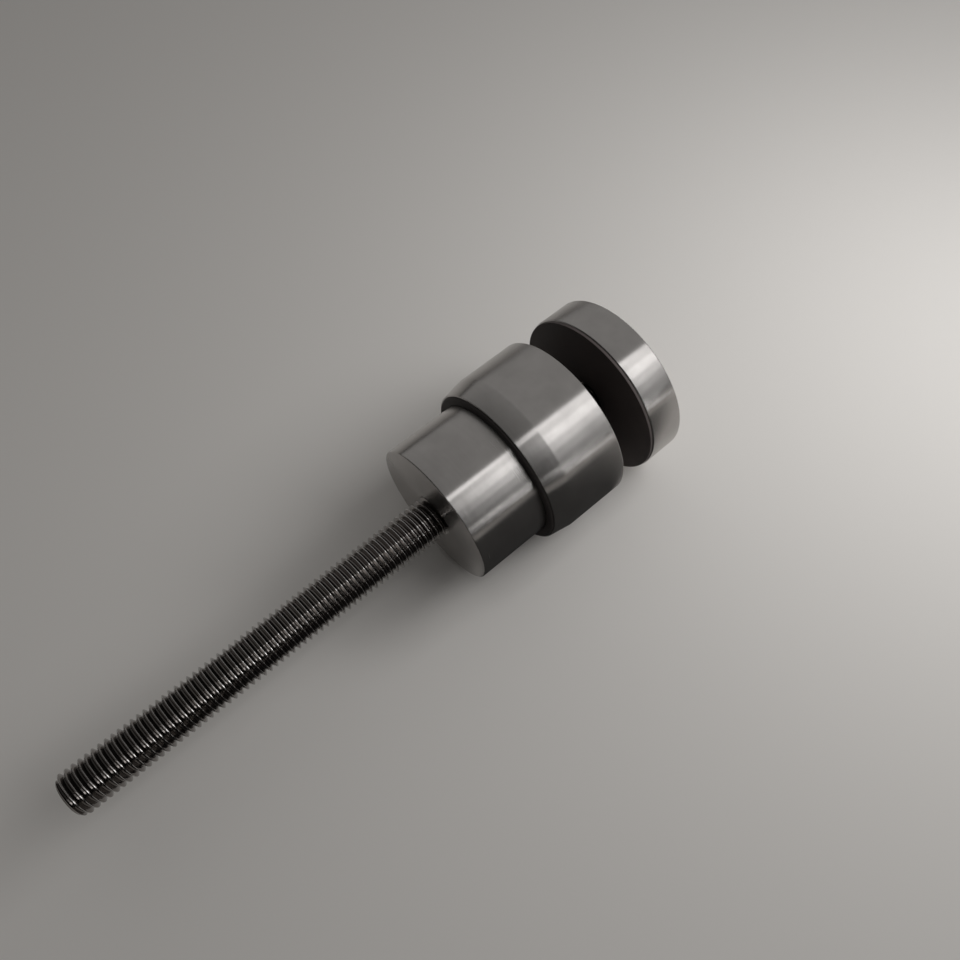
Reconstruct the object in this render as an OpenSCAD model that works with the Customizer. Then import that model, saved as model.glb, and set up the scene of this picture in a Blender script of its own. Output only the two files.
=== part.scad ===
// Adjustable glass panel standoff, all sizes in millimetres.
// The wall is the plane x = 0. The stud runs into the wall along -X; the base, the
// head, the glass slot and the cap follow one another along +X. +Z is up.
// The thread of a rod is drawn as one groove for each turn, at its true pitch and
// depth. Threads inside a bore are drawn plain: the one that the head turns on keeps
// its crest diameter, and the end of the stud in the base is drawn at its core.

/* [Glass] */
// Thickness of the glass pane that the slot is set for
glass_t = 10; // [8:0.5:15]
// Play between the pane and the gaskets before the cap is tightened
glass_play = 0.2; // [0:0.1:1]

/* [Head] */
// Outside diameter of the head
head_d = 50; // [45:1:70]
// Length of the head along the axis
head_len = 24.3; // [22:0.1:40]
// Wall of the head round the base
head_wall = 4; // [3.25:0.25:8]
// Thickness of the front wall that the cap screw passes through
front_wall = 7; // [5:0.5:9]
// Length of the taper behind the full diameter
taper_len = 6.5; // [2:0.5:15]
// Lip of metal round the seal ring at the rear rim
rear_lip = 0.4; // [0.2:0.1:0.6]

/* [Base] */
// Length of the base that shows between the wall and the head
base_reach = 22; // [16:1:60]
// Step from the outside of the base down to its adjusting thread
shoulder = 1; // [0.5:0.25:2]
// Width of the countersink round the stud on the wall face
mouth = 0.4; // [0.2:0.1:2]

/* [Adjusting thread] */
// Pitch of the thread between the base and the head
adjust_pitch = 1.5; // [1:0.25:2]
// Turns that the head can be screwed in from rest
adjust_in = 2; // [1:1:3]
// Turns that the head can be screwed out from rest
adjust_out = 1; // [0:1:2]

/* [Seal ring] */
// Width of the ring from the base outwards
ring_w = 2.4; // [1.5:0.1:3]
// Length of the ring along the axis
ring_len = 2.6; // [1.8:0.1:3.5]
// How far the ring stands out behind the head
ring_proud = 0.6; // [0:0.1:1.2]
// Rounding of the ring's outer rear corner
ring_round = 0.6; // [0.2:0.1:1]

/* [Cap] */
// Outside diameter of the cap
cap_d = 50; // [40:1:80]
// Thickness of the cap
cap_t = 10.5; // [9:0.5:20]
// Diameter of the tightening hole in the side of the cap
pin_hole_d = 4; // [3:0.5:6]
// Depth of the tightening hole
pin_hole_depth = 8; // [5:0.5:10]

/* [Cap screw] */
// Crest diameter of the cap screw
screw_d = 10; // [8:1:12]
// Pitch of the cap screw
screw_pitch = 1.5; // [1:0.25:2]
// Turns that the cap can be screwed in from rest
cap_in = 1; // [0:1:1]
// Turns that the cap can be screwed out from rest
cap_out = 6; // [2:1:8]
// Thread that still holds when the cap is right out
screw_hold = 2.3; // [1.5:0.1:4]
// Depth of the screw's seat in the cap
screw_seat = 7; // [5:0.5:7.5]
// Space round the end of the screw inside the base
relief_gap = 1; // [0.5:0.1:3]

/* [Gaskets and bush] */
// Thickness of the gasket on the head
head_gasket_t = 1; // [0.8:0.1:2]
// How far the head's gasket stands out of its recess
gasket_proud = 0.3; // [0.1:0.1:0.6]
// Width of the metal rim round the head's gasket
gasket_rim = 3; // [1:0.5:8]
// Thickness of the gasket on the cap
cap_gasket_t = 0.8; // [0.5:0.1:3]
// Step from the outside of the cap in to its gasket
cap_gasket_step = 0.3; // [0:0.1:2]
// Space between the cap's gasket and the cap screw
cap_gasket_gap = 0.5; // [0.3:0.1:2]
// Outside diameter of the bush that lines the hole in the pane
bush_d = 16; // [14:0.5:20]

/* [Stud] */
// Crest diameter of the wall stud
stud_d = 12; // [10:1:16]
// Pitch of the wall stud's thread
stud_pitch = 1.75; // [1:0.25:2]
// Length of the stud outside the base
stud_out = 110; // [40:5:200]
// Length of the stud inside the base
stud_in = 20; // [12:1:25]
// Chamfer on the ends of the stud and the cap screw
screw_chamfer = 1.2; // [0.5:0.1:2]

/* [Clearances] */
// Radial clearance of pieces that run or seat in one another
fit = 0.05; // [0.02:0.01:0.1]
// Chamfer on the outside edges of the turned pieces
edge = 0.4; // [0.1:0.1:1]
// Free length left at the end of a travel
end_gap = 0.5; // [0.3:0.1:1]

/* [Hidden] */
$fn = 96;
ROUND_STEPS = 5;   // straight steps in the ring's rounded corner
THREAD_DEPTH = 0.6134;  // depth of a metric thread, in pitches
THREAD_CREST = 0.125;   // width of its crest, in pitches
THREAD_FLANK = 30;      // lean of each flank, in degrees
CUT = 1;           // how far a cutting tool runs past the surface that it opens

// Travels of the two screwed pieces
head_back = adjust_in * adjust_pitch;
head_forth = adjust_out * adjust_pitch;
cap_back = cap_in * screw_pitch;
cap_forth = cap_out * screw_pitch;

// Radii
head_r = head_d / 2;
guide_r = head_r - head_wall;          // smooth bore that guides the base
base_r = guide_r - fit;
neck_r = base_r - shoulder;            // crest of the adjusting thread
ring_r = guide_r + ring_w;
ring_seat_r = ring_r + fit;
rear_r = ring_seat_r + rear_lip;       // rear rim of the head, small end of the taper
stud_r = stud_d / 2;
core_r = (stud_d - stud_pitch) / 2;
tap_r = core_r + fit;
screw_r = screw_d / 2;
screw_bore_r = screw_r + fit;
cap_r = cap_d / 2;
bush_r = bush_d / 2;

// Places along the axis, from the wall outwards
head_x = base_reach;
ring_x = head_x - ring_proud;
ring_seat_x = ring_x + ring_len;
shoulder_x = ring_seat_x + head_forth + end_gap;
guide_end_x = shoulder_x + head_back + end_gap;
front_x = head_x + head_len;
inner_x = front_x - front_wall;
neck_x = inner_x - head_back - end_gap;
recess_x = front_x + gasket_proud - head_gasket_t;
pane_x = front_x + gasket_proud;
cap_gasket_x = pane_x + glass_t + glass_play;
bush_x = cap_gasket_x - cap_back - end_gap;
cap_x = cap_gasket_x + cap_gasket_t;
cap_front_x = cap_x + cap_t;
screw_end_x = cap_x + screw_seat;
screw_tip_x = recess_x - screw_hold - cap_forth;
relief_x = screw_tip_x - head_back - cap_back - 2 * end_gap;

// A turned piece: its section is a list of [place along the axis, radius]
module turned(section) {
    rotate([0, 90, 0])
        rotate_extrude()
            polygon([for (p = section) [p[1], p[0]]]);
}

// Section points of a thread that ends on a crest at front_x, one groove for each turn
function thread(rear_x, front_x, crest_r, pitch) =
    let (
        turns = ceil((front_x - rear_x) / pitch) - 1,
        groove = (1 - THREAD_CREST) * pitch,
        depth = THREAD_DEPTH * pitch,
        flank = depth * tan(THREAD_FLANK)
    )
    [for (turn = [turns : -1 : 1])
        let (x = front_x - turn * pitch)
            each [
                [x, crest_r],
                [x + flank, crest_r - depth],
                [x + groove - flank, crest_r - depth],
                [x + groove, crest_r]
            ]];

// A flat ring between two places along the axis
module washer(x0, x1, inner_r, outer_r) {
    turned([[x0, inner_r], [x0, outer_r], [x1, outer_r], [x1, inner_r]]);
}

// Threaded rod into the wall, screwed into the base up to its core diameter
module stud() {
    thread_x = -stud_out + screw_chamfer;
    color("dimgray")
        turned(concat(
            [[-stud_out, 0], [-stud_out, stud_r - screw_chamfer], [thread_x, stud_r]],
            thread(thread_x, 0, stud_r, stud_pitch),
            [
                [0, stud_r],
                [stud_r - core_r, core_r],
                [stud_in - screw_chamfer, core_r],
                [stud_in, core_r - screw_chamfer],
                [stud_in, 0]
            ]
        ));
}

// Sleeve on the wall: smooth outside, threaded neck in front, tapped for the stud
module base() {
    mouth_r = stud_r + mouth;
    relief_r = screw_r + relief_gap;
    color("silver")
        turned([
            [0, mouth_r],
            [0, base_r - edge],
            [edge, base_r],
            [shoulder_x, base_r],
            [shoulder_x, neck_r],
            [neck_x - edge, neck_r],
            [neck_x, neck_r - edge],
            [neck_x, relief_r],
            [relief_x, relief_r],
            [relief_x, tap_r],
            [mouth_r - tap_r, tap_r]
        ]);
}

// Rubber ring that closes the joint between the base and the head
module seal_ring() {
    corner = [for (i = [0 : ROUND_STEPS])
        let (a = 90 * i / ROUND_STEPS)
            [ring_x + ring_round * (1 - sin(a)), ring_r - ring_round * (1 - cos(a))]];
    color("black")
        turned(concat(
            [[ring_x, guide_r], [ring_seat_x, guide_r], [ring_seat_x, ring_r]],
            corner
        ));
}

// Cup that screws over the base, tapered at the rear, recessed in front for its gasket
module head() {
    thread_r = neck_r + fit;
    recess_r = head_r - gasket_rim + fit;
    color("silver")
        turned([
            [head_x, ring_seat_r],
            [head_x, rear_r],
            [head_x + taper_len, head_r],
            [front_x - edge, head_r],
            [front_x, head_r - edge],
            [front_x, recess_r],
            [recess_x, recess_r],
            [recess_x, screw_bore_r],
            [inner_x, screw_bore_r],
            [inner_x, thread_r],
            [guide_end_x, thread_r],
            [guide_end_x, guide_r],
            [ring_seat_x, guide_r],
            [ring_seat_x, ring_seat_r]
        ]);
}

// Rubber seat for the pane, let into the head round the bush
module head_gasket() {
    color("black")
        washer(recess_x, pane_x, bush_r + fit, head_r - gasket_rim);
}

// Plastic sleeve that keeps the cap screw off the hole in the pane
module glass_bush() {
    color("darkslategray")
        washer(recess_x, bush_x, screw_bore_r, bush_r);
}

// Rubber seat under the cap
module cap_gasket() {
    color("black")
        washer(cap_gasket_x, cap_x, screw_r + cap_gasket_gap, cap_r - cap_gasket_step);
}

// Disc that clamps the pane, with a blind hole in its side for the tightening pin
module cap() {
    color("silver")
        difference() {
            turned([
                [cap_x, screw_bore_r],
                [cap_x, cap_r - edge],
                [cap_x + edge, cap_r],
                [cap_front_x - edge, cap_r],
                [cap_front_x, cap_r - edge],
                [cap_front_x, 0],
                [screw_end_x, 0],
                [screw_end_x, screw_bore_r]
            ]);
            translate([(cap_x + cap_front_x) / 2, cap_r - pin_hole_depth, 0])
                rotate([-90, 0, 0])
                    cylinder(d = pin_hole_d, h = pin_hole_depth + CUT);
        }
}

// Screw fixed in the cap, which draws the cap towards the head
module cap_screw() {
    rear_x = screw_tip_x + screw_chamfer;
    front_x = screw_end_x - screw_chamfer;
    color("dimgray")
        turned(concat(
            [[screw_tip_x, 0], [screw_tip_x, screw_r - screw_chamfer], [rear_x, screw_r]],
            thread(rear_x, front_x, screw_r, screw_pitch),
            [[front_x, screw_r], [screw_end_x, screw_r - screw_chamfer], [screw_end_x, 0]]
        ));
}

stud();
base();
seal_ring();
head();
head_gasket();
glass_bush();
cap_gasket();
cap();
cap_screw();
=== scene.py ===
# %% [markdown]
# # A glass panel standoff, from lathe to studio
#
# A standoff holds a pane of glass clear of a wall. A threaded stud goes into the wall, a round
# base sits against it, and an adjustable head is screwed onto the base with a rubber ring at
# its rear rim. The pane stands between the head and a round cap, on rubber gaskets, round a
# plastic bush, and a screw in the cap draws the cap up against it.
#
# Nearly every piece is turned on a lathe. The lesson does the same: it draws one outline for
# each piece and spins it round the stud's axis, which runs along X.

# %% Load the fixed frame
import math

import bmesh
import bpy
from mathutils import Matrix, Quaternion, Vector


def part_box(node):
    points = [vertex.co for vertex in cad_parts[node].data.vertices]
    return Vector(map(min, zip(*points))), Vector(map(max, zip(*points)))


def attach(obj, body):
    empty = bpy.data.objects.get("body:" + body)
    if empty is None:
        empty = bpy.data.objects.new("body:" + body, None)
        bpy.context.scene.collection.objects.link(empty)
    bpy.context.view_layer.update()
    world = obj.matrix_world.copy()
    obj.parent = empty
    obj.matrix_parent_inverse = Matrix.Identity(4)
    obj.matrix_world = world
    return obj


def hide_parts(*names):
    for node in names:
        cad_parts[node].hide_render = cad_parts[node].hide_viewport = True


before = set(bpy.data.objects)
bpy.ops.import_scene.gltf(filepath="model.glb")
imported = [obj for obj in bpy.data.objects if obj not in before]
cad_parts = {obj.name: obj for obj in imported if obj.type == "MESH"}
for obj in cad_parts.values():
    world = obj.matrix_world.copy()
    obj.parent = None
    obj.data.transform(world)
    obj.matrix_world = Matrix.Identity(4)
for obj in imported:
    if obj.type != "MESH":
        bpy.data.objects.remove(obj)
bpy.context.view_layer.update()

MM = 0.001                      # the scene is in metres, a turner thinks in millimetres

# %% [markdown]
# ## The camera
#
# The standoff is looked at from behind and above, over the stud's end, so that the ring, the
# taper of the head and the dark slot for the glass all show. A camera can be placed by raw
# coordinates, but it is easier to think of it on a tripod: the point it aims at, how far off it
# stands, how high, from which side, and how far it is rolled.

# %% Aim the camera
AIM = Vector((16.2 * MM, 0, 0))          # a point on the stud's axis, inside the base
CAMERA_DISTANCE = 238.6 * MM
CAMERA_SIDE = math.radians(-30.0)        # round Z, from the -Y side towards the stud
CAMERA_HEIGHT = math.radians(55.27)      # above the floor
CAMERA_ROLL = math.radians(-12.35)
LENS = 32.67                             # millimetres, on a sensor 36 wide
NEAR_CLIP = 10 * MM                      # the default would be too far for so close a look


def towards(side, height):
    """The direction from the aim point to something at that side and height."""
    return Vector((math.sin(side) * math.cos(height),
                   -math.cos(side) * math.cos(height), math.sin(height)))


to_camera = towards(CAMERA_SIDE, CAMERA_HEIGHT)
bpy.ops.object.camera_add(location=AIM + to_camera * CAMERA_DISTANCE)
camera = bpy.context.object
camera.name = "studio_camera"
camera.data.lens = LENS
camera.data.clip_start = NEAR_CLIP
camera.rotation_mode = "QUATERNION"
camera.rotation_quaternion = ((-to_camera).to_track_quat("-Z", "Y")
                              @ Quaternion((0, 0, 1), CAMERA_ROLL))
bpy.context.scene.camera = camera
print("camera at", [round(v / MM, 1) for v in camera.location], "mm")

# %% [markdown]
# ## Sizes that the frame already fixes
#
# Each CAD node's box says where the piece starts, where it ends and how thick it is. The
# outlines below are drawn from those three numbers, so a new piece lands exactly where the
# solid is. Only inner details, such as a bore, are given as sizes of their own.

# %% Read where each piece starts, ends and how thick it is


def extent(node):
    """Rear end, front end and outside radius of a turned CAD node, in millimetres."""
    low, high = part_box(node)
    return low.x / MM, high.x / MM, high.z / MM


STUD_TIP, STUD_END, STUD_R = extent("stud")
WALL_X, NECK_END, BASE_R = extent("base")
RING_REAR, RING_FRONT, RING_R = extent("seal_ring")
HEAD_REAR, HEAD_FRONT, HEAD_R = extent("head")
PAD_REAR, PAD_FRONT, PAD_R = extent("head_gasket")
BUSH_REAR, BUSH_FRONT, BUSH_R = extent("glass_bush")
LINER_REAR, LINER_FRONT, LINER_R = extent("cap_gasket")
CAP_REAR, CAP_FRONT, CAP_R = extent("cap")
SCREW_REAR, SCREW_FRONT, SCREW_R = extent("cap_screw")
print(f"head {HEAD_REAR:.1f} to {HEAD_FRONT:.1f} mm, radius {HEAD_R:.2f} mm")

# %% [markdown]
# ## Selecting
#
# Two small habits save much trouble. An operator works on all that is selected, so every piece
# starts with nothing selected. And points are picked by where they are, never by their number,
# because numbers change when a shape changes.

# %% Helpers: a clean selection, and picking points by place
WELD = 0.0005 * MM                       # points nearer together than this are one point


def deselect_everything():
    """Leaves edit mode and lets go of every object."""
    if bpy.context.object and bpy.context.object.mode != "OBJECT":
        bpy.ops.object.mode_set(mode="OBJECT")
    bpy.ops.object.select_all(action="DESELECT")


def pick_points(piece, wanted):
    """In edit mode, selects the points for whose place wanted() is true."""
    shape = bmesh.from_edit_mesh(piece.data)
    bpy.ops.mesh.select_all(action="DESELECT")
    found = [point for point in shape.verts if wanted(point.co)]
    for point in found:
        point.select = True
    shape.select_flush_mode()
    bmesh.update_edit_mesh(piece.data)


print("points nearer than", round(WELD / MM, 4), "mm are merged")

# %% [markdown]
# ## Drawing an outline
#
# On a real lathe the tool follows an outline while the bar turns. The outline comes first. It is
# a list of corners: place along the axis, radius, and how much the corner is rounded. A small
# plane is merged to one point, the point is extruded from corner to corner, and then the
# rounded corners are bevelled. Rounding last means that a corner can be moved later without
# drawing its curve again.

# %% Helper: draw an outline
SEED_SIZE = 0.1 * MM
AT_CORNER = 4 * WELD                     # a point this near a corner is the corner
ROUND_STEPS, ROUND_PROFILE = 4, 0.5      # a profile of 0.5 is a quarter circle


def draw_outline(name, corners, closed=True):
    """A wire in the XZ plane through the corners, with the rounded ones bevelled."""
    deselect_everything()
    start_x, start_r, _ = corners[0]
    bpy.ops.mesh.primitive_plane_add(size=SEED_SIZE, location=(start_x * MM, 0, start_r * MM))
    piece = bpy.context.object
    piece.name = piece.data.name = name
    bpy.ops.object.transform_apply(location=True, rotation=True, scale=True)
    bpy.ops.object.mode_set(mode="EDIT")
    bpy.ops.mesh.select_mode(type="VERT")
    bpy.ops.mesh.select_all(action="SELECT")
    bpy.ops.mesh.merge(type="CENTER")
    path = corners + corners[:1] if closed else corners
    for (x0, r0, _), (x1, r1, _) in zip(path, path[1:]):
        step = ((x1 - x0) * MM, 0, (r1 - r0) * MM)
        bpy.ops.mesh.extrude_region_move(TRANSFORM_OT_translate={"value": step})
    bpy.ops.mesh.select_all(action="SELECT")
    bpy.ops.mesh.remove_doubles(threshold=WELD)
    for x, r, rounding in corners:
        if rounding:
            corner = Vector((x * MM, 0, r * MM))
            pick_points(piece, lambda place: (place - corner).length < AT_CORNER)
            bpy.ops.mesh.bevel(offset=rounding * MM, offset_type="OFFSET", affect="VERTICES",
                               segments=ROUND_STEPS, profile=ROUND_PROFILE)
    return piece


print("an outline's corner is rounded in", ROUND_STEPS, "steps")

# %% [markdown]
# ## A lathe made of operators
#
# `spin` turns the wire into a closed body, as the bar turns against the tool. Doubles are merged
# before the normals are recalculated, because `spin` may leave the shape inside out. Shading by
# angle keeps turned edges crisp and everything flatter smooth. A piece is then tied to the body
# that it moves with, and the CAD node that it stands for is hidden.

# %% Helpers: close up a shape, turn it on the lathe, fit it in place
SOFT_ANGLE = math.radians(32)            # edges flatter than this are shaded smooth
LATHE_STEPS = 160
WIDE_STEPS = 192                         # for the two widest pieces


def close_up(piece):
    """Welds doubled points, turns all faces outwards and shades soft angles smooth."""
    bpy.ops.mesh.select_all(action="SELECT")
    bpy.ops.mesh.remove_doubles(threshold=WELD)
    bpy.ops.mesh.normals_make_consistent(inside=False)
    bpy.ops.object.mode_set(mode="OBJECT")
    bpy.ops.object.shade_smooth_by_angle(angle=SOFT_ANGLE)
    print(f"{piece.name}: {len(piece.data.polygons)} faces")
    return piece


def turn_on_lathe(name, corners, steps=LATHE_STEPS):
    """Spins a closed outline round the stud's axis into a finished body."""
    piece = draw_outline(name, corners)
    bpy.ops.mesh.select_all(action="SELECT")
    bpy.ops.mesh.spin(steps=steps, angle=math.tau, center=(0, 0, 0), axis=(1, 0, 0),
                      use_auto_merge=True)
    return close_up(piece)


def fit_in_place(piece, body, node):
    """The piece moves with its body and stands in for its CAD node, which is hidden."""
    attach(piece, body)
    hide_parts(node)


print("the lathe turns in", LATHE_STEPS, "or", WIDE_STEPS, "steps")

# %% [markdown]
# ## The base
#
# The base is the smaller drum against the wall. Its rear face is flat, with a countersunk hole
# for the stud. Outside, its edge is only just broken, which gives the thin line of light that
# turned metal has at its rims. In front it steps down to the neck that the head is screwed on.

# %% Turn the base
EDGE = 0.35                     # rounding of the turned outside edges
FINE_EDGE = 0.15                # the same where an edge is only just broken
STEP_X = 26.0                   # shoulder between the base and its neck
NECK_R = 19.95
MOUTH_R, MOUTH_DEPTH = 6.4, 1.225
TAP_R = 5.175
POCKET_X = 28.8                 # bore behind the cap screw's end

base = turn_on_lathe("turned_base", [
    (WALL_X, MOUTH_R, FINE_EDGE), (WALL_X, BASE_R, EDGE), (STEP_X, BASE_R, EDGE),
    (STEP_X, NECK_R, 0), (NECK_END, NECK_R, EDGE), (NECK_END, STUD_R, FINE_EDGE),
    (POCKET_X, STUD_R, 0), (POCKET_X, TAP_R, 0), (WALL_X + MOUTH_DEPTH, TAP_R, 0)])
fit_in_place(base, "base", "base")

# %% [markdown]
# ## The head
#
# The head is the larger drum. Its rear quarter tapers in to a lip round the seal ring, its
# front has a shallow recess for a gasket, and inside it is bored out for the base. The taper
# meets the full diameter in a soft line, so that corner gets a wide rounding.

# %% Turn the head
TAPER_X = 28.5                  # where the taper ends
REAR_R = 23.85                  # rear rim, small end of the taper
SEAT_R, SEAT_X = 23.45, 24.0    # seat of the seal ring
GUIDE_R, GUIDE_X = 21.0, 29.5   # smooth bore round the base
BORE_R, BORE_X = 20.0, 39.3     # threaded bore round the neck
SCREW_HOLE_R = 5.05
RECESS_R, RECESS_X = 22.05, 45.6
TAPER_SOFT = 0.3                # rounding where the taper meets the full diameter

head = turn_on_lathe("turned_head", [
    (HEAD_REAR, SEAT_R, 0), (HEAD_REAR, REAR_R, FINE_EDGE), (TAPER_X, HEAD_R, TAPER_SOFT),
    (HEAD_FRONT, HEAD_R, EDGE), (HEAD_FRONT, RECESS_R, FINE_EDGE), (RECESS_X, RECESS_R, 0),
    (RECESS_X, SCREW_HOLE_R, FINE_EDGE), (BORE_X, SCREW_HOLE_R, 0), (BORE_X, BORE_R, 0),
    (GUIDE_X, BORE_R, 0), (GUIDE_X, GUIDE_R, 0), (SEAT_X, GUIDE_R, 0), (SEAT_X, SEAT_R, 0)],
    steps=WIDE_STEPS)
fit_in_place(head, "head", "head")

# %% [markdown]
# ## The seal ring
#
# A soft black ring closes the joint between the base and the head and keeps rain out of the
# thread. It stands a little proud of the head's rear rim, with a fat rounded corner. Being
# moulded, it is rounder than anything turned.

# %% Mould the seal ring
RING_BORE = 21.0
RING_FAT, RING_LIP = 0.6, 0.2   # rounding of the corner that shows, and of the one at the base

ring = turn_on_lathe("moulded_ring", [
    (RING_REAR, RING_BORE, RING_LIP), (RING_REAR, RING_R, RING_FAT),
    (RING_FRONT, RING_R, FINE_EDGE), (RING_FRONT, RING_BORE, FINE_EDGE)])
fit_in_place(ring, "ring", "seal_ring")

# %% [markdown]
# ## Gaskets and bush
#
# Two rubber washers keep the glass off the metal and a plastic bush lines the hole in the pane.
# They are plain rings, but a punched washer has crisp edges and a moulded bush has a small lead
# at its mouth, so their roundings differ.

# %% Make the two gaskets and the bush
PAD_BORE = 8.05
LINER_BORE = 5.5
BUSH_BORE = 5.05
PUNCHED = 0.1
LEAD = 0.4


def washer(name, rear, front, bore, radius, rounding):
    """A plain ring with the same rounding on all its edges."""
    return turn_on_lathe(name, [(rear, bore, rounding), (rear, radius, rounding),
                                (front, radius, rounding), (front, bore, rounding)])


head_pad = washer("head_washer", PAD_REAR, PAD_FRONT, PAD_BORE, PAD_R, PUNCHED)
bush = washer("pane_bush", BUSH_REAR, BUSH_FRONT, BUSH_BORE, BUSH_R, LEAD)
cap_liner = washer("cap_washer", LINER_REAR, LINER_FRONT, LINER_BORE, LINER_R, PUNCHED)
fit_in_place(head_pad, "head", "head_gasket")
fit_in_place(bush, "head", "glass_bush")
fit_in_place(cap_liner, "pad", "cap_gasket")

# %% [markdown]
# ## The cap
#
# The cap is a thick disc that clamps the glass, with a blind hole behind for its screw. Its
# outline ends on the axis, so `spin` closes the disc with a pole there, and the weld makes that
# pole one point.

# %% Turn the cap
SEAT_END = 64.6                 # bottom of the screw's blind hole

cap = turn_on_lathe("turned_cap", [
    (CAP_REAR, SCREW_HOLE_R, FINE_EDGE), (CAP_REAR, CAP_R, EDGE), (CAP_FRONT, CAP_R, EDGE),
    (CAP_FRONT, 0, 0), (SEAT_END, 0, 0), (SEAT_END, SCREW_HOLE_R, 0)], steps=WIDE_STEPS)

# %% [markdown]
# ## The hole for the tightening pin
#
# In the cap's rim a small hole is drilled for a pin, which turns the cap tight. It is on the side
# away from the camera. The drill is a cylinder, and a Boolean modifier takes its shape out of the
# disc, as the drill would. A wider shank should break the mouth of the hole.
#
# Known fault: the limit in `pick_points` below takes WELD, which is in metres, from millimetres.
# It picks no point, so the drill gets no shank, and the hole stays closed by a skin as thick as
# PIN_MOUTH. `place.y > mouth_start * MM - WELD` is the limit that was meant.

# %% Drill the hole
PIN_R, PIN_DEPTH = 2.0, 8.0
PIN_MOUTH = 0.25                # the mouth of the hole is only just broken
DRILL_OVER = 1.0                # how far the drill stands out of the cap
DRILL_SIDES = 48
SIDEWAYS = math.radians(90)     # lays the upright cylinder along Y


def cut_with(piece, tool, how):
    """Applies a Boolean of the tool on the piece, then throws the tool away."""
    deselect_everything()
    piece.select_set(True)
    bpy.context.view_layer.objects.active = piece
    bpy.ops.object.modifier_add(type="BOOLEAN")
    cut = piece.modifiers[-1]
    cut.object, cut.operation, cut.solver = tool, how, "EXACT"
    bpy.ops.object.modifier_apply(modifier=cut.name)
    bpy.data.objects.remove(tool)
    bpy.ops.object.mode_set(mode="EDIT")
    return close_up(piece)


deselect_everything()
drill_end = CAP_R - PIN_DEPTH
mouth_start = CAP_R - PIN_MOUTH
bpy.ops.mesh.primitive_cylinder_add(
    vertices=DRILL_SIDES, radius=PIN_R * MM, depth=(mouth_start - drill_end) * MM,
    location=((CAP_REAR + CAP_FRONT) / 2 * MM, (mouth_start + drill_end) / 2 * MM, 0),
    rotation=(SIDEWAYS, 0, 0))
drill = bpy.context.object
drill.name = "drill"
bpy.ops.object.transform_apply(location=True, rotation=True, scale=True)
bpy.ops.object.mode_set(mode="EDIT")
bpy.ops.mesh.select_mode(type="VERT")
pick_points(drill, lambda place: place.y > (mouth_start - WELD) * MM)
bpy.ops.mesh.select_mode(type="FACE")
bpy.ops.mesh.extrude_region_move(
    TRANSFORM_OT_translate={"value": (0, (PIN_MOUTH + DRILL_OVER) * MM, 0)})
widen = 1 + (PIN_MOUTH + DRILL_OVER) / PIN_R
bpy.ops.transform.resize(value=(widen, 1, widen))
bpy.ops.mesh.select_all(action="SELECT")
bpy.ops.mesh.normals_make_consistent(inside=False)
cut_with(cap, drill, "DIFFERENCE")
fit_in_place(cap, "cap", "cap")

# %% [markdown]
# ## Winding a thread
#
# The thread is what the eye reads first on a threaded bar, so it is modelled as a real helix:
# one tooth is drawn as an open outline one pitch long, and the Screw modifier winds it along the
# axis. The two ragged ends are bisected flat, and a turned blank with the right chamfers trims
# the whole, as a thread cutter's die follows a chamfered bar.

# %% Helper: wind a thread
WIND_STEPS, BLANK_STEPS = 48, 96
LEAD_IN, SPARE_TURNS = 1.5, 3   # turns wound before the rear end, and more than the length holds
THREAD_DEPTH = 0.6134           # depth of a metric thread, in pitches
THREAD_CREST = 0.125            # width of its crest, in pitches
FLANK_LEAN = math.radians(30)
FLANK_SOFT, CREST_SOFT = 0.12, 0.2      # shares of both that the edge between them takes


def wind_thread(name, rear, front, crest_r, pitch, blank_corners):
    """A threaded bar from rear to front, trimmed to the outline of the blank."""
    depth, crest = THREAD_DEPTH * pitch, THREAD_CREST * pitch
    flank = depth * math.tan(FLANK_LEAN)
    root_r = crest_r - depth
    x = rear - pitch * LEAD_IN
    shoulder_r = crest_r - depth * FLANK_SOFT
    tooth = [(x, root_r, 0), (x + flank * (1 - FLANK_SOFT), shoulder_r, 0),
             (x + flank + crest * CREST_SOFT, crest_r, 0),
             (x + flank + crest * (1 - CREST_SOFT), crest_r, 0),
             (x + flank * (1 + FLANK_SOFT) + crest, shoulder_r, 0),
             (x + 2 * flank + crest, root_r, 0), (x + pitch, root_r, 0)]
    piece = draw_outline(name, tooth, closed=False)
    bpy.ops.object.mode_set(mode="OBJECT")
    bpy.ops.object.modifier_add(type="SCREW")
    wind = piece.modifiers[-1]
    wind.axis, wind.angle, wind.screw_offset = "X", math.tau, pitch * MM
    wind.iterations = math.ceil((front - rear) / pitch) + SPARE_TURNS
    wind.steps = wind.render_steps = WIND_STEPS
    wind.use_merge_vertices, wind.merge_threshold = True, WELD * MM
    bpy.ops.object.modifier_apply(modifier=wind.name)
    bpy.ops.object.mode_set(mode="EDIT")
    bpy.ops.mesh.select_all(action="SELECT")
    bpy.ops.mesh.remove_doubles(threshold=WELD)
    for end, side in ((rear, -1), (front, 1)):
        bpy.ops.mesh.select_all(action="SELECT")
        bpy.ops.mesh.bisect(plane_co=(end * MM, 0, 0), plane_no=(side, 0, 0),
                            use_fill=True, clear_outer=True, clear_inner=False)
    close_up(piece)
    blank = turn_on_lathe(name + "_blank", blank_corners, steps=BLANK_STEPS)
    return cut_with(piece, blank, "INTERSECT")


print("a metric thread is", THREAD_DEPTH, "pitches deep")

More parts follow.
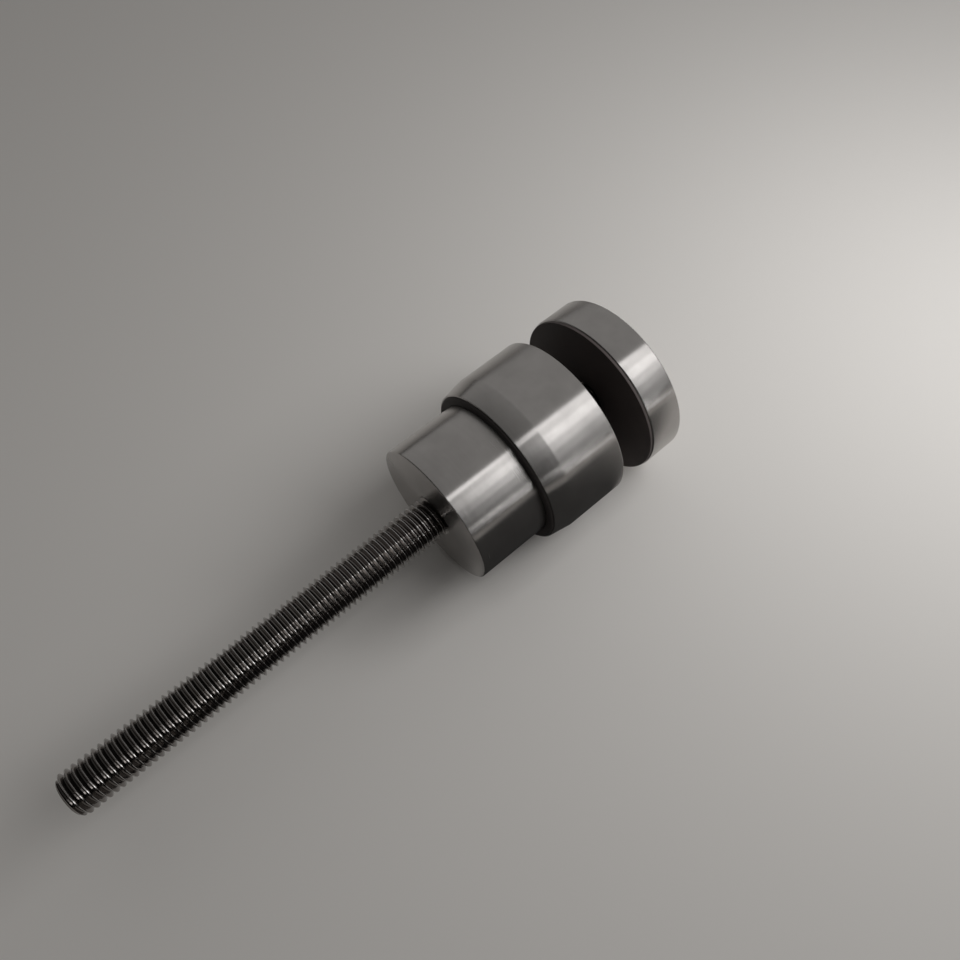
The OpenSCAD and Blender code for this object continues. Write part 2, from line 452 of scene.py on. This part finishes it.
# %% [markdown]
# ## The stud and the cap screw
#
# The wall stud is coarse-threaded bar, 12 mm over its crests with a pitch of 1.75 mm, and the
# cap screw is its 10 mm neighbour with 1.5 mm. Both are cut to length and chamfered, so a nut or
# a tapped hole finds the first turn. Inside the base only the stud's core is needed.
#
# Known fault: the Boolean closes the stud, but not the ends of the cap screw. Its rear end, in
# the head, stays open and a little short, and some faces of its front end, in the cap, are
# doubled. Both ends are out of sight at every pose.

# %% Make the stud and the screw
STUD_PITCH, SCREW_PITCH = 1.75, 1.5
TRIM = 0.01                     # the blank clears the crests by this much
END_CHAMFER = 1.2
CORE_R = 5.125                  # the stud's core, inside the base
CORE_X = STUD_R - CORE_R        # a 45 degree run-out at the base's mouth
stud = wind_thread("threaded_stud", STUD_TIP, STUD_END, STUD_R, STUD_PITCH, [
    (STUD_TIP, 0, 0), (STUD_TIP, STUD_R - END_CHAMFER, 0),
    (STUD_TIP + END_CHAMFER, STUD_R + TRIM, 0), (WALL_X, STUD_R + TRIM, 0),
    (WALL_X + CORE_X, CORE_R, 0), (STUD_END - END_CHAMFER, CORE_R, 0),
    (STUD_END, CORE_R - END_CHAMFER, 0), (STUD_END, 0, 0)])
screw = wind_thread("threaded_cap_screw", SCREW_REAR, SCREW_FRONT, SCREW_R, SCREW_PITCH, [
    (SCREW_REAR, 0, 0), (SCREW_REAR, SCREW_R - END_CHAMFER, 0),
    (SCREW_REAR + END_CHAMFER, SCREW_R + TRIM, 0),
    (SCREW_FRONT - END_CHAMFER, SCREW_R + TRIM, 0),
    (SCREW_FRONT, SCREW_R - END_CHAMFER, 0), (SCREW_FRONT, 0, 0)])
fit_in_place(stud, "base", "stud")
fit_in_place(screw, "cap", "cap_screw")

# %% [markdown]
# ## Starting a finish
#
# A finish is a tree of nodes that ends in one shader. Every pattern here is computed from the
# piece's own coordinates, so it stays on the piece when the piece moves. A few small functions
# keep the trees readable. The first ones start a tree and put a value on a socket, whether it is
# a number or another node's output.

# %% Helpers: start a finish, set or link a socket


def new_finish(name):
    """An empty material with its node tree, its shader and the piece's own coordinates."""
    finish = bpy.data.materials.new(name)
    finish.use_nodes = True
    tree = finish.node_tree
    shader = tree.nodes["Principled BSDF"]
    place = tree.nodes.new("ShaderNodeTexCoord").outputs["Object"]
    return finish, tree, shader, place


def set_or_link(tree, socket, value):
    """Puts a number on a socket, or joins another node's output to it."""
    if isinstance(value, bpy.types.NodeSocket):
        tree.links.new(value, socket)
    else:
        socket.default_value = value


print("a finish starts from one shader and the piece's own coordinates")

# %% [markdown]
# ## Patterns
#
# Real surfaces are never quite even. Noise gives the unevenness, and a map range turns it into
# the numbers that are wanted. Most of a noise lies between a quarter and three quarters, so that
# is the range that is stretched.

# %% Helpers: vectors, noise, ranges and sums
EVEN_DETAIL, FINE_DETAIL, FINEST_DETAIL = 2.0, 3.0, 4.0
NOISE_RANGE = (0.25, 0.75)


def vector_math(tree, operation, first, second=None):
    node = tree.nodes.new("ShaderNodeVectorMath")
    node.operation = operation
    set_or_link(tree, node.inputs[0], first)
    if second is not None:
        set_or_link(tree, node.inputs[1], second)
    return node.outputs["Value" if operation == "LENGTH" else "Vector"]


def noise(tree, place, scale, detail=EVEN_DETAIL):
    node = tree.nodes.new("ShaderNodeTexNoise")
    set_or_link(tree, node.inputs["Vector"], place)
    node.inputs["Scale"].default_value = scale
    node.inputs["Detail"].default_value = detail
    return node.outputs["Fac"]


def spread(tree, value, low, high, source=NOISE_RANGE):
    """Maps a noise onto the range from low to high."""
    node = tree.nodes.new("ShaderNodeMapRange")
    set_or_link(tree, node.inputs["Value"], value)
    node.inputs["From Min"].default_value, node.inputs["From Max"].default_value = source
    node.inputs["To Min"].default_value, node.inputs["To Max"].default_value = low, high
    return node.outputs["Result"]


def add(tree, first, second):
    node = tree.nodes.new("ShaderNodeMath")
    node.operation = "ADD"
    set_or_link(tree, node.inputs[0], first)
    set_or_link(tree, node.inputs[1], second)
    return node.outputs[0]


print("noise is read between", *NOISE_RANGE)

# %% [markdown]
# ## Colour and relief
#
# One helper blends two colours by a pattern, and one turns a pattern into a bump. The Mix node
# has its colour sockets behind those for numbers and vectors, so they are counted here.

# %% Helpers: blend two colours, make a bump
COLOUR_A, COLOUR_B, COLOUR_RESULT = 6, 7, 2     # places of the colour sockets


def blend_colours(tree, amount, first, second):
    node = tree.nodes.new("ShaderNodeMix")
    node.data_type = "RGBA"
    set_or_link(tree, node.inputs["Factor"], amount)
    set_or_link(tree, node.inputs[COLOUR_A], first)
    set_or_link(tree, node.inputs[COLOUR_B], second)
    return node.outputs[COLOUR_RESULT]


def bump(tree, height, distance, strength):
    node = tree.nodes.new("ShaderNodeBump")
    set_or_link(tree, node.inputs["Height"], height)
    node.inputs["Distance"].default_value = distance
    node.inputs["Strength"].default_value = strength
    return node.outputs["Normal"]


print("colours are blended on sockets", COLOUR_A, "and", COLOUR_B)

# %% [markdown]
# ## Coordinates of a turned piece
#
# The marks of a lathe run round the axis. They vary with the place along the axis and with the
# radius, and hardly at all round the axis, so a pattern for them reads just those two numbers.
# The direction of the marks is at right angles to the axis and to the way out from it.

# %% Helpers: along and out, and the direction of the turning lines
STUD_AXIS = (1, 0, 0)
ACROSS = (0, 1, 1)              # keeps what lies across the axis


def along_and_out(tree, place):
    """A vector of the place along the axis and the distance out from it."""
    split = tree.nodes.new("ShaderNodeSeparateXYZ")
    tree.links.new(place, split.inputs[0])
    radius = vector_math(tree, "LENGTH", vector_math(tree, "MULTIPLY", place, ACROSS))
    join = tree.nodes.new("ShaderNodeCombineXYZ")
    tree.links.new(split.outputs["X"], join.inputs["X"])
    tree.links.new(radius, join.inputs["Y"])
    return join.outputs[0]


def lathe_tangent(tree, place):
    """The direction of the turning lines, which run round the axis, in the world."""
    lines = vector_math(tree, "CROSS_PRODUCT", STUD_AXIS, place)
    turn = tree.nodes.new("ShaderNodeVectorTransform")
    turn.vector_type, turn.convert_from, turn.convert_to = "VECTOR", "OBJECT", "WORLD"
    tree.links.new(lines, turn.inputs[0])
    return vector_math(tree, "NORMALIZE", turn.outputs[0])


print("turning lines run round", STUD_AXIS)

# %% [markdown]
# ## Satin steel
#
# The drums are stainless steel with a satin, turned finish: very fine lines run round the axis.
# Such lines smear a reflection across themselves, so a lamp becomes a band that runs along the
# drum, sharp on its long sides. In the shader that is an anisotropic metal whose stretch runs
# across the lines. Slow clouds in the colour and the roughness stand for handling.

# %% The satin finish
STEEL_LIGHT = (0.537, 0.517, 0.503, 1)
STEEL_DARK = (0.417, 0.401, 0.389, 1)
LINES = 3600                    # turning lines, a little under 0.3 mm apart
PATCHES = 90                    # slow changes, about a centimetre across
CLOUDS = 160                    # the haze left by hands, in smaller clouds
LINE_SHARE, CLOUD_SHARE = 0.35, 0.65    # how much each says in the colour
DULL_PATCH = (0.225, 0.275)     # roughness of the smoother and the duller patches
DULL_LINE = 0.010               # and how far a line departs from it
LINE_DEPTH, LINE_STRENGTH = 0.004 * MM, 0.045
STRETCH = 0.97                  # how far a reflection is drawn out across the lines
QUARTER_TURN = 0.25             # turns that stretch from round the axis to along it


def satin_steel(name):
    finish, tree, shader, place = new_finish(name)
    lathe = along_and_out(tree, place)
    lines = noise(tree, lathe, LINES, FINE_DETAIL)
    patches = noise(tree, place, PATCHES)
    clouds = noise(tree, place, CLOUDS, FINEST_DETAIL)
    tone = add(tree, spread(tree, lines, 0, LINE_SHARE), spread(tree, clouds, 0, CLOUD_SHARE))
    dullness = add(tree, spread(tree, lines, -DULL_LINE, DULL_LINE),
                   spread(tree, patches, *DULL_PATCH))
    set_or_link(tree, shader.inputs["Base Color"],
                blend_colours(tree, tone, STEEL_DARK, STEEL_LIGHT))
    set_or_link(tree, shader.inputs["Roughness"], dullness)
    set_or_link(tree, shader.inputs["Normal"], bump(tree, lines, LINE_DEPTH, LINE_STRENGTH))
    set_or_link(tree, shader.inputs["Tangent"], lathe_tangent(tree, place))
    shader.inputs["Metallic"].default_value = 1.0
    shader.inputs["Anisotropic"].default_value = STRETCH
    shader.inputs["Anisotropic Rotation"].default_value = QUARTER_TURN
    return finish


satin = satin_steel("turned_steel")
print("finish made:", satin.name)

# %% [markdown]
# ## Thread steel
#
# The threads are rolled, not polished, and their steel is darker than the drums'. Height above
# the thread's root tells crest from groove, and the colour follows the radius. The root is
# painted darker, as painted shade in the grooves. A thin band at the crest is painted paler, as a
# painted highlight. The roughness follows a fine noise.

# %% The thread finish
# The root colour is painted shade in the grooves. The crest colour is a painted highlight.
ROOT_PAINTED_SHADE = (0.165, 0.152, 0.143, 1)
FLANK = (0.245, 0.229, 0.218, 1)
CREST_PAINTED_HIGHLIGHT = (0.56, 0.548, 0.538, 1)
CREST_HIGHLIGHT_HEIGHT = 0.04                   # height of the crest band painted paler as a highlight, in pitches
ROOT_SHADE_HEIGHT = 0.15                     # height of the root band painted darker as shade, in pitches
SMUDGES, SMUDGE_ROUGHNESS = 400, (0.11, 0.19)
ROLLED, ROLLED_DEPTH, ROLLED_STRENGTH = 5000, 0.004 * MM, 0.3


def thread_steel(name, crest_r, pitch):
    finish, tree, shader, place = new_finish(name)
    radius = vector_math(tree, "LENGTH", vector_math(tree, "MULTIPLY", place, ACROSS))
    root_r = crest_r - THREAD_DEPTH * pitch
    # Painted shade: the band next to the root is darker. Painted highlight: the band at the crest
    # is paler.
    above_root_shade = spread(tree, radius, 0, 1, (root_r * MM, (root_r + ROOT_SHADE_HEIGHT * pitch) * MM))
    crest_highlight = spread(tree, radius, 0, 1, ((crest_r - CREST_HIGHLIGHT_HEIGHT * pitch) * MM, crest_r * MM))
    smudge = noise(tree, place, SMUDGES, FINE_DETAIL)
    set_or_link(tree, shader.inputs["Base Color"], blend_colours(
        tree, crest_highlight, blend_colours(tree, above_root_shade, ROOT_PAINTED_SHADE, FLANK), CREST_PAINTED_HIGHLIGHT))
    set_or_link(tree, shader.inputs["Roughness"], spread(tree, smudge, *SMUDGE_ROUGHNESS))
    set_or_link(tree, shader.inputs["Normal"], bump(
        tree, noise(tree, place, ROLLED), ROLLED_DEPTH, ROLLED_STRENGTH))
    shader.inputs["Metallic"].default_value = 1.0
    return finish


stud_finish = thread_steel("stud_steel", STUD_R, STUD_PITCH)
screw_finish = thread_steel("screw_steel", SCREW_R, SCREW_PITCH)
print("finishes made:", stud_finish.name, screw_finish.name)

# %% [markdown]
# ## Rubber and plastic
#
# Rubber is matt and nearly black, with a faint bloom and a fine grain. The two gaskets are
# punched from sheet and sit in the slot for the glass. Their rubber is painted paler than the
# moulded ring, as painted light that lifts the shade in the slot. The bush is a harder black
# plastic, smoother and a little shinier.

# %% The black finishes
BLOOM, BLOOM_DULL = 220, 0.06   # how fine the bloom is, and how far it moves the roughness
GRAIN_DEPTH = 0.01 * MM
BLACKS = {                      # name: dark, pale, roughness, how fine the grain is, its strength
    "soft_rubber": ((0.033, 0.028, 0.026, 1), (0.047, 0.040, 0.038, 1), 0.62, 4000, 0.4),
    # The gaskets' rubber is painted paler, as painted light against the shade of the slot.
    "sheet_rubber": ((0.075, 0.062, 0.060, 1), (0.100, 0.083, 0.079, 1), 0.70, 4000, 0.4),
    "bush_plastic": ((0.012, 0.012, 0.012, 1), (0.018, 0.018, 0.018, 1), 0.38, 6000, 0.15)}


def black_finish(name, dark, pale, roughness, grain, grain_strength):
    finish, tree, shader, place = new_finish(name)
    bloom = noise(tree, place, BLOOM, FINE_DETAIL)
    set_or_link(tree, shader.inputs["Base Color"],
                blend_colours(tree, spread(tree, bloom, 0, 1), dark, pale))
    set_or_link(tree, shader.inputs["Roughness"],
                spread(tree, bloom, roughness - BLOOM_DULL, roughness + BLOOM_DULL))
    set_or_link(tree, shader.inputs["Normal"],
                bump(tree, noise(tree, place, grain), GRAIN_DEPTH, grain_strength))
    return finish


rubber, sheet, plastic = [black_finish(name, *look) for name, look in BLACKS.items()]
print("finishes made:", ", ".join(BLACKS))

# %% [markdown]
# ## Giving each piece its finish
#
# All nine pieces are ready and all six finishes exist, so one list joins them. It reads like
# the material column of a parts list.

# %% Give each piece its finish
PARTS_LIST = (
    (base, satin), (head, satin), (cap, satin), (stud, stud_finish), (screw, screw_finish),
    (ring, rubber), (head_pad, sheet), (cap_liner, sheet), (bush, plastic))

for piece, finish in PARTS_LIST:
    piece.data.materials.clear()
    piece.data.materials.append(finish)
print("finishes given to", len(PARTS_LIST), "pieces")

# %% [markdown]
# ## The table
#
# The standoff lies on a plain pale table. It is one large plane, matt enough that no lamp
# glares in it from any side.

# %% The table
FLOOR_COLOUR = (0.79, 0.765, 0.735, 1)
FLOOR_ROUGHNESS, FLOOR_GLOSS = 0.8, 0.1
FLOOR_SIZE = 40.0               # metres, so its far edge looks like a straight horizon


def plain_finish(name, colour, roughness, gloss):
    """An even finish, without a pattern."""
    finish = bpy.data.materials.new(name)
    finish.use_nodes = True
    shader = finish.node_tree.nodes["Principled BSDF"]
    shader.inputs["Base Color"].default_value = colour
    shader.inputs["Roughness"].default_value = roughness
    shader.inputs["Specular IOR Level"].default_value = gloss
    return finish


deselect_everything()
bpy.ops.mesh.primitive_plane_add(size=FLOOR_SIZE, location=(0, 0, -HEAD_R * MM))
floor = bpy.context.object
floor.name = "table"
floor.data.materials.append(
    plain_finish("pale_table", FLOOR_COLOUR, FLOOR_ROUGHNESS, FLOOR_GLOSS))
print("table laid", HEAD_R, "mm under the axis")

# %% [markdown]
# ## Lamps by angle
#
# Satin metal shows its surroundings, so a lamp is placed by what each drum should show. On a
# drum a reflection lies at some angle round the axis and runs along it. So a lamp is given here
# as the stud sees it: from which angle to which, from where to where along the stud, and how far
# away. That is easier to think about than three coordinates and three turns.

# %% Helper: a lamp beside the stud

def lamp_beside(name, low, high, rear, front, distance, brightness, lean=0.0):
    """A flat soft lamp beside the stud. Seen from the stud it reaches from the low to the high
    angle above the near horizon, in degrees, and from rear to front along the stud, in metres.
    A lamp of brightness 1 looks just white."""
    middle, half = math.radians((low + high) / 2), math.radians((high - low) / 2)
    outward = Vector((0, -math.cos(middle), math.sin(middle)))
    length, width = front - rear, 2 * distance * math.tan(half)
    place = outward * distance + Vector(((rear + front) / 2, 0, 0))
    bpy.ops.object.light_add(type="AREA", location=place)
    lamp = bpy.context.object
    lamp.name = name
    lamp.data.shape, lamp.data.size, lamp.data.size_y = "RECTANGLE", length, width
    lamp.data.energy = brightness * math.pi * length * width
    lamp.visible_camera = False
    along = Vector((1, 0, 0))
    stand = Matrix((along, outward.cross(along), outward)).transposed()
    lamp.rotation_mode = "QUATERNION"
    lamp.rotation_quaternion = (stand.to_quaternion()
                                @ Quaternion((0, 0, 1), math.radians(lean)))
    print(f"{name}: {length:.2f} by {width:.2f} m, {lamp.data.energy:.2f} W")
    return lamp


print("lamps stand beside the stud, on the camera's side")

# %% [markdown]
# ## The window
#
# The main light is a soft window beside and in front of the cap. It is built of panes that grow
# dimmer towards the sill, which shades the bright band along each drum as daylight does. At the
# top its edge reaches further back, over a dim frame, and these two draw the fine line and the
# grey patch on the taper.

# %% The window
WINDOW_AWAY = 0.9
WINDOW_REAR, WINDOW_FRONT = 0.20, 1.10
EDGE_REAR, FRAME_REAR = -0.12, -0.05
WINDOW_PANES = {                # name: low and high angle, rear, front, brightness
    "window_top": (54, 67.5, WINDOW_REAR, WINDOW_FRONT, 1.45),
    "window_upper": (42, 54, WINDOW_REAR, WINDOW_FRONT, 2.00),
    "window_middle": (31, 42, WINDOW_REAR, WINDOW_FRONT, 1.30),
    "window_lower": (20, 31, WINDOW_REAR, WINDOW_FRONT, 0.75),
    "window_sill": (6, 20, WINDOW_REAR, WINDOW_FRONT, 0.45),
    "window_edge": (62, 68.5, EDGE_REAR, WINDOW_REAR, 1.7),
    "window_frame": (50, 62, FRAME_REAR, WINDOW_REAR, 0.15)}

lamps = {name: lamp_beside(name, low, high, rear, front, WINDOW_AWAY, brightness)
         for name, (low, high, rear, front, brightness) in WINDOW_PANES.items()}

# %% [markdown]
# ## A strip for the drums and a light for the table
#
# A low strip gives the second, thinner line on the drums. It leans down towards the cap, so the
# line sinks along them. The table gets a light of its own, over its right side, which the metal
# doesn't mirror. So the look of the table and the look of the metal can be set one at a time.

# %% The low strip and the light for the table
LOW_STRIP = {"low": 4.8, "high": 6.6, "rear": 0.06, "front": 0.32, "distance": 0.5,
             "brightness": 4.8, "lean": -35}
TABLE_LIGHT = {"low": 40, "high": 80, "rear": 0.14, "front": 0.24, "distance": 0.18,
               "brightness": 5.2}

lamps["low_strip"] = lamp_beside("low_strip", **LOW_STRIP)
lamps["table_light"] = lamp_beside("table_light", **TABLE_LIGHT)
lamps["table_light"].visible_glossy = False

# %% [markdown]
# ## Lamps with only some receivers
#
# The lamps that stand low over the table would make it glare, so they are linked to the
# standoff's own pieces. Two panes further back give the sparks on the crests of the stud, and
# would spoil the taper, so they are linked to the stud alone. In light linking the receivers of
# a lamp are the objects of a collection.

# %% Link the low lamps, add the panes for the stud
LOW_LAMPS = ("window_lower", "window_sill", "low_strip")
STUD_PANES = {                  # name: low and high angle, brightness
    "stud_pane_high": (36, 58, 0.5), "stud_pane_low": (22, 36, 2.4)}
STUD_PANE_REAR, STUD_PANE_FRONT = -0.42, -0.02


standoff_only = bpy.data.collections.new("standoff_only")
for piece, _ in PARTS_LIST:
    standoff_only.objects.link(piece)
for name in LOW_LAMPS:
    lamps[name].light_linking.receiver_collection = standoff_only

stud_only = bpy.data.collections.new("stud_only")
stud_only.objects.link(stud)
for name, (low, high, brightness) in STUD_PANES.items():
    lamps[name] = lamp_beside(name, low, high, STUD_PANE_REAR, STUD_PANE_FRONT, WINDOW_AWAY,
                              brightness)
    lamps[name].light_linking.receiver_collection = stud_only
print(len(LOW_LAMPS), "lamps light only the standoff,", len(STUD_PANES), "only its stud")

# %% [markdown]
# ## A dark card
#
# Metal that lies on a pale table mirrors it from below and looks flat. A dark card on the table
# in front of the drums darkens the lower part of their reflection, which makes a round metal
# body look round. Only the metal sees the card: the camera, the shadows and the table do not.

# %% Lay the dark card
CARD_COLOUR = (0.07, 0.068, 0.066, 1)
CARD_REAR, CARD_FRONT = -0.10, 0.046    # along the stud
CARD_NEAR, CARD_FAR = -0.012, -0.235    # out to the camera's side
CARD_SLANT = 0.16                       # how far the far front corner is drawn out
CARD_LIFT = 0.2                         # over the table, in millimetres
CARD_ROUGHNESS, CARD_GLOSS = 0.8, 0.5

deselect_everything()
bpy.ops.mesh.primitive_plane_add(size=1, location=(
    (CARD_REAR + CARD_FRONT) / 2, (CARD_NEAR + CARD_FAR) / 2, (CARD_LIFT - HEAD_R) * MM))
card = bpy.context.object
card.name = "dark_card"
card.scale = (CARD_FRONT - CARD_REAR, CARD_NEAR - CARD_FAR, 1)
bpy.ops.object.transform_apply(location=True, rotation=False, scale=True)
bpy.ops.object.mode_set(mode="EDIT")
bpy.ops.mesh.select_mode(type="VERT")
pick_points(card, lambda place: place.x > 0 and place.y < CARD_NEAR - WELD)
bpy.ops.transform.translate(value=(CARD_SLANT, 0, 0))
bpy.ops.object.mode_set(mode="OBJECT")
card.data.materials.append(
    plain_finish("card_black", CARD_COLOUR, CARD_ROUGHNESS, CARD_GLOSS))
card.visible_camera = card.visible_shadow = card.visible_diffuse = False
print("card laid:", [round(length, 3) for length in card.dimensions[:2]], "m")

# %% [markdown]
# ## The room
#
# The room gives the metal its quiet middle tone: an even grey overhead that darkens towards the
# horizon, behind the stud and on the near side, as if black cloths hung there. Each of these is
# a smooth step along one axis of the view of the room, and the steps are multiplied. Over the
# table the camera sees a plain pale wall instead, so the object stands clear from every side.

# %% The room
ROOM_TOP, ROOM_HORIZON = 0.34, 0.06
REAR_SHADE, NEAR_SHADE = 0.07, 0.25     # what is left of it behind the stud and in front
BACKDROP = 0.45                         # the plain wall that the camera sees over the table
ROOM_COLOUR = (1.0, 0.985, 0.965, 1)
ABOVE_HORIZON, BEHIND_STUD, IN_FRONT = (0.0, 0.15), (-0.4, 0.2), (-0.85, -0.40)

world = bpy.data.worlds.new("room")
bpy.context.scene.world = world
world.use_nodes = True
room = world.node_tree
sky = room.nodes["Background"]
around = room.nodes.new("ShaderNodeTexCoord")
split = room.nodes.new("ShaderNodeSeparateXYZ")
room.links.new(around.outputs["Generated"], split.inputs[0])


def ramp(axis, start, end, low, high):
    """A smooth step of the room's brightness along one axis of the view of it."""
    node = room.nodes.new("ShaderNodeMapRange")
    node.interpolation_type = "SMOOTHSTEP"
    room.links.new(split.outputs[axis], node.inputs["Value"])
    node.inputs["From Min"].default_value, node.inputs["From Max"].default_value = start, end
    node.inputs["To Min"].default_value, node.inputs["To Max"].default_value = low, high
    return node.outputs["Result"]


def multiply(first, second):
    node = room.nodes.new("ShaderNodeMath")
    node.operation = "MULTIPLY"
    room.links.new(first, node.inputs[0])
    room.links.new(second, node.inputs[1])
    return node.outputs[0]


height = ramp("Z", *ABOVE_HORIZON, ROOM_HORIZON, ROOM_TOP)
rear_side = ramp("X", *BEHIND_STUD, REAR_SHADE, 1.0)
near_side = ramp("Y", *IN_FRONT, NEAR_SHADE, 1.0)
seen_by = room.nodes.new("ShaderNodeLightPath")
strength = room.nodes.new("ShaderNodeMix")
room.links.new(seen_by.outputs["Is Camera Ray"], strength.inputs["Factor"])
room.links.new(multiply(multiply(height, rear_side), near_side), strength.inputs["A"])
strength.inputs["B"].default_value = BACKDROP
room.links.new(strength.outputs["Result"], sky.inputs["Strength"])
sky.inputs["Color"].default_value = ROOM_COLOUR
bpy.context.scene.view_settings.view_transform = "Standard"
print("room made, lamps:", ", ".join(lamps))
